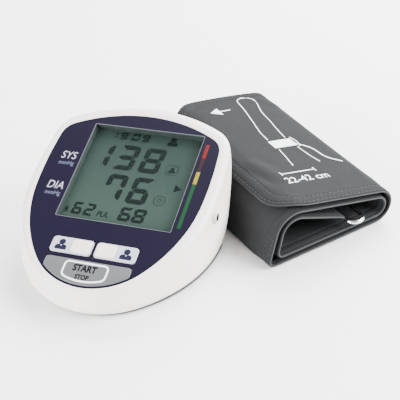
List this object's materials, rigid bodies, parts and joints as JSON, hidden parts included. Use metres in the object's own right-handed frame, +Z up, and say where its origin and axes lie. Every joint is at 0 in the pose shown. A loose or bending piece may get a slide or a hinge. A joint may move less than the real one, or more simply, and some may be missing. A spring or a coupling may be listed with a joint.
{
  "type": "upper-arm blood pressure monitor",
  "caption": "Tabletop upper-arm blood pressure monitor: sloping face with a large display, three keys, battery door, and a wound arm cuff beside it.",
  "frame": {"origin": "middle of the monitor's base, on the flat underside of the base, which four rubber feet carry 0.8 mm above the table", "axes": "+Z up, -Y towards the user (the low edge of the sloping face with its keys), +X to the user's right, the side on which the wound cuff lies"},
  "size_m": [0.2355, 0.248, 0.0677],
  "materials": {
    "housing_white": "fine satin moulding",
    "door_white": "fine satin moulding",
    "panel_navy": "smooth semi-gloss inlay",
    "clear_window": "clear polycarbonate, polished",
    "lcd_glass": "grey-green reflective liquid crystal",
    "frame_grey": "as moulded",
    "silicone_grey": "soft silicone",
    "key_grey": "satin",
    "start_key_grey": "satin",
    "board_green": "solder mask",
    "component_black": "moulded",
    "screw_steel": "zinc plated",
    "dark_rubber": "soft rubber",
    "battery_jacket": "printed film jacket, bare",
    "contact_steel": "nickel plated spring steel",
    "pump_plastic": "as moulded",
    "motor_steel": "galvanised can",
    "silicone_clear": "translucent silicone",
    "cuff_cloth": "coated woven nylon, dark grey",
    "bladder_rubber": "thin air-tight sheet",
    "hook_cloth": "hook tape",
    "ring_steel": "polished wire",
    "port_plastic": "as moulded"
  },
  "bodies": {
    "monitor": {"top_housing": "housing_white", "front_panel": "panel_navy", "display_window": "clear_window", "keypad_mat": "silicone_grey", "lcd_module": "lcd_glass", "lcd_frame": "frame_grey", "contact_strip": "dark_rubber", "main_board": "board_green", "main_chip": "component_black", "buzzer": "component_black", "pressure_sensor": "component_black", "housing_screws": "screw_steel", "board_screws": "screw_steel", "bottom_housing": "housing_white", "rubber_feet": "dark_rubber", "batteries": "battery_jacket", "battery_contacts": "contact_steel", "pump_head": "pump_plastic", "pump_motor": "motor_steel", "exhaust_valve": "motor_steel", "air_manifold": "frame_grey", "air_tubes": "silicone_clear", "air_socket": "component_black", "dc_jack": "component_black"},
    "user_1_key": {"user_1_button": "key_grey"},
    "user_2_key": {"user_2_button": "key_grey"},
    "start_stop_key": {"start_stop_button": "start_key_grey"},
    "battery_cover": {"battery_door": "door_white"},
    "cuff": {"cuff_sleeve": "cuff_cloth", "air_bladder": "bladder_rubber", "hook_patch": "hook_cloth", "d_ring": "ring_steel", "hose_port": "port_plastic"}
  },
  "joints": [
    {"name": "user_1_press", "type": "slide", "parent": "monitor", "child": "user_1_key", "axis": [0, 0.3256, -0.9455], "range_m": [0, 0.001], "stiffness_N_per_m": 600, "springref_m": -0.001},
    {"name": "user_2_press", "type": "slide", "parent": "monitor", "child": "user_2_key", "axis": [0, 0.3256, -0.9455], "range_m": [0, 0.001], "stiffness_N_per_m": 600, "springref_m": -0.001},
    {"name": "start_stop_press", "type": "slide", "parent": "monitor", "child": "start_stop_key", "axis": [0, 0.3256, -0.9455], "range_m": [0, 0.001], "stiffness_N_per_m": 600, "springref_m": -0.001},
    {"name": "battery_door_slide", "type": "slide", "parent": "monitor", "child": "battery_cover", "axis": [0, 1, 0], "range_m": [0, 0.008]},
    {"name": "cuff_lift", "type": "slide", "parent": "monitor", "child": "cuff", "axis": [0.4639, 0.5337, 0.7071], "range_m": [0, 0.15]}
  ]
}
